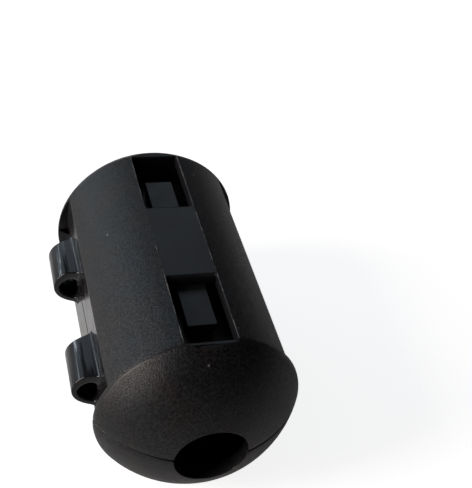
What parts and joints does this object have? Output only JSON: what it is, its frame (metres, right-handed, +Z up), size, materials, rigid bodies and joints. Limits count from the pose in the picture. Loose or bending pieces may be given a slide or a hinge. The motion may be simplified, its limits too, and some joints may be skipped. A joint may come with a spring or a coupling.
{
  "type": "clip on ferrite bead",
  "caption": "Round dome-ended plastic case that hinges open, snaps shut over a cable with a window latch, and closes half-round ferrite sleeves around it.",
  "frame": {"origin": "centre of the cable hole, midway between the two domed ends, on the split between the shells", "axes": "+Y along the cable hole, +Z up from the lower to the upper shell, +X from the hinge to the latch"},
  "size_m": [0.015, 0.0262, 0.0136],
  "materials": {
    "case": "black nylon, fine spark-eroded grain",
    "hinge": "black nylon, smooth satin",
    "core": "dark grey sintered ferrite, tumbled"
  },
  "bodies": {
    "lower_half": {"lower_shell": "case", "lower_core": "core", "front_hinge_strap": "hinge", "rear_hinge_strap": "hinge"},
    "upper_half": {"upper_shell": "case", "upper_core": "core", "latch_flap": "case"}
  },
  "joints": [
    {"name": "lid_hinge", "type": "hinge", "parent": "lower_half", "child": "upper_half", "pos_m": [-0.00785, 0, 0], "axis": [0, -1, 0], "range_deg": [0, 180], "deforming": ["front_hinge_strap", "rear_hinge_strap", "latch_flap"]}
  ]
}
